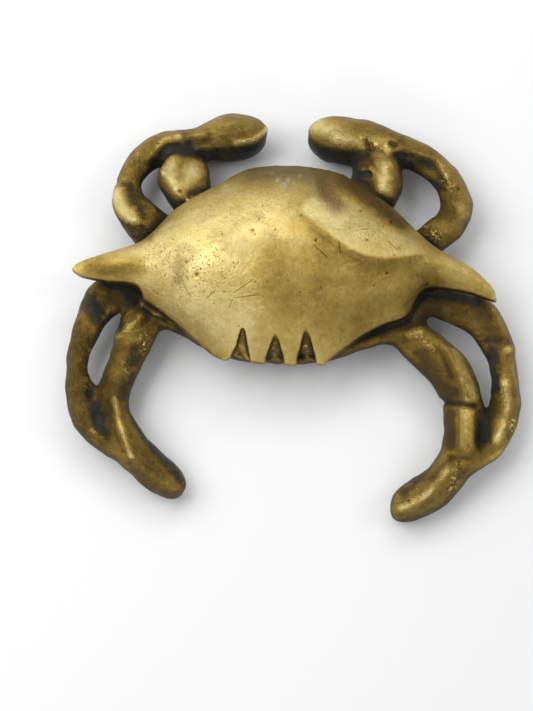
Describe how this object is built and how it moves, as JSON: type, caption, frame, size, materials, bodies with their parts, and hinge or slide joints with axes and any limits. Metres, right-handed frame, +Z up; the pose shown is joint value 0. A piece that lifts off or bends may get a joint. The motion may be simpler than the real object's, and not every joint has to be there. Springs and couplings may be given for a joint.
{
  "type": "crab figurine",
  "caption": "Small cast brass crab that rests on a table, with a domed shell, curled claws and bowed legs.",
  "frame": {"origin": "on the table, under the middle of the crab's box", "axes": "+Z up, +Y towards the claws, +X from the left spine to the right one as seen from above with the claws at the top"},
  "size_m": [0.1142, 0.1068, 0.0264],
  "materials": {
    "shell_brass": "worn satin casting with pits, scratches and brown patina",
    "dark_brass": "dark brown to black patina over a rough casting",
    "limb_brass": "polished crests over brown flanks, black in the creases"
  },
  "bodies": {
    "root": {"carapace": "shell_brass", "underbody": "dark_brass", "claw_left": "limb_brass", "claw_right": "limb_brass", "eye_knob_left": "limb_brass", "eye_knob_right": "limb_brass", "outer_leg_left": "limb_brass", "outer_leg_right": "limb_brass", "inner_leg_left": "limb_brass", "inner_leg_right": "limb_brass"}
  },
  "joints": []
}
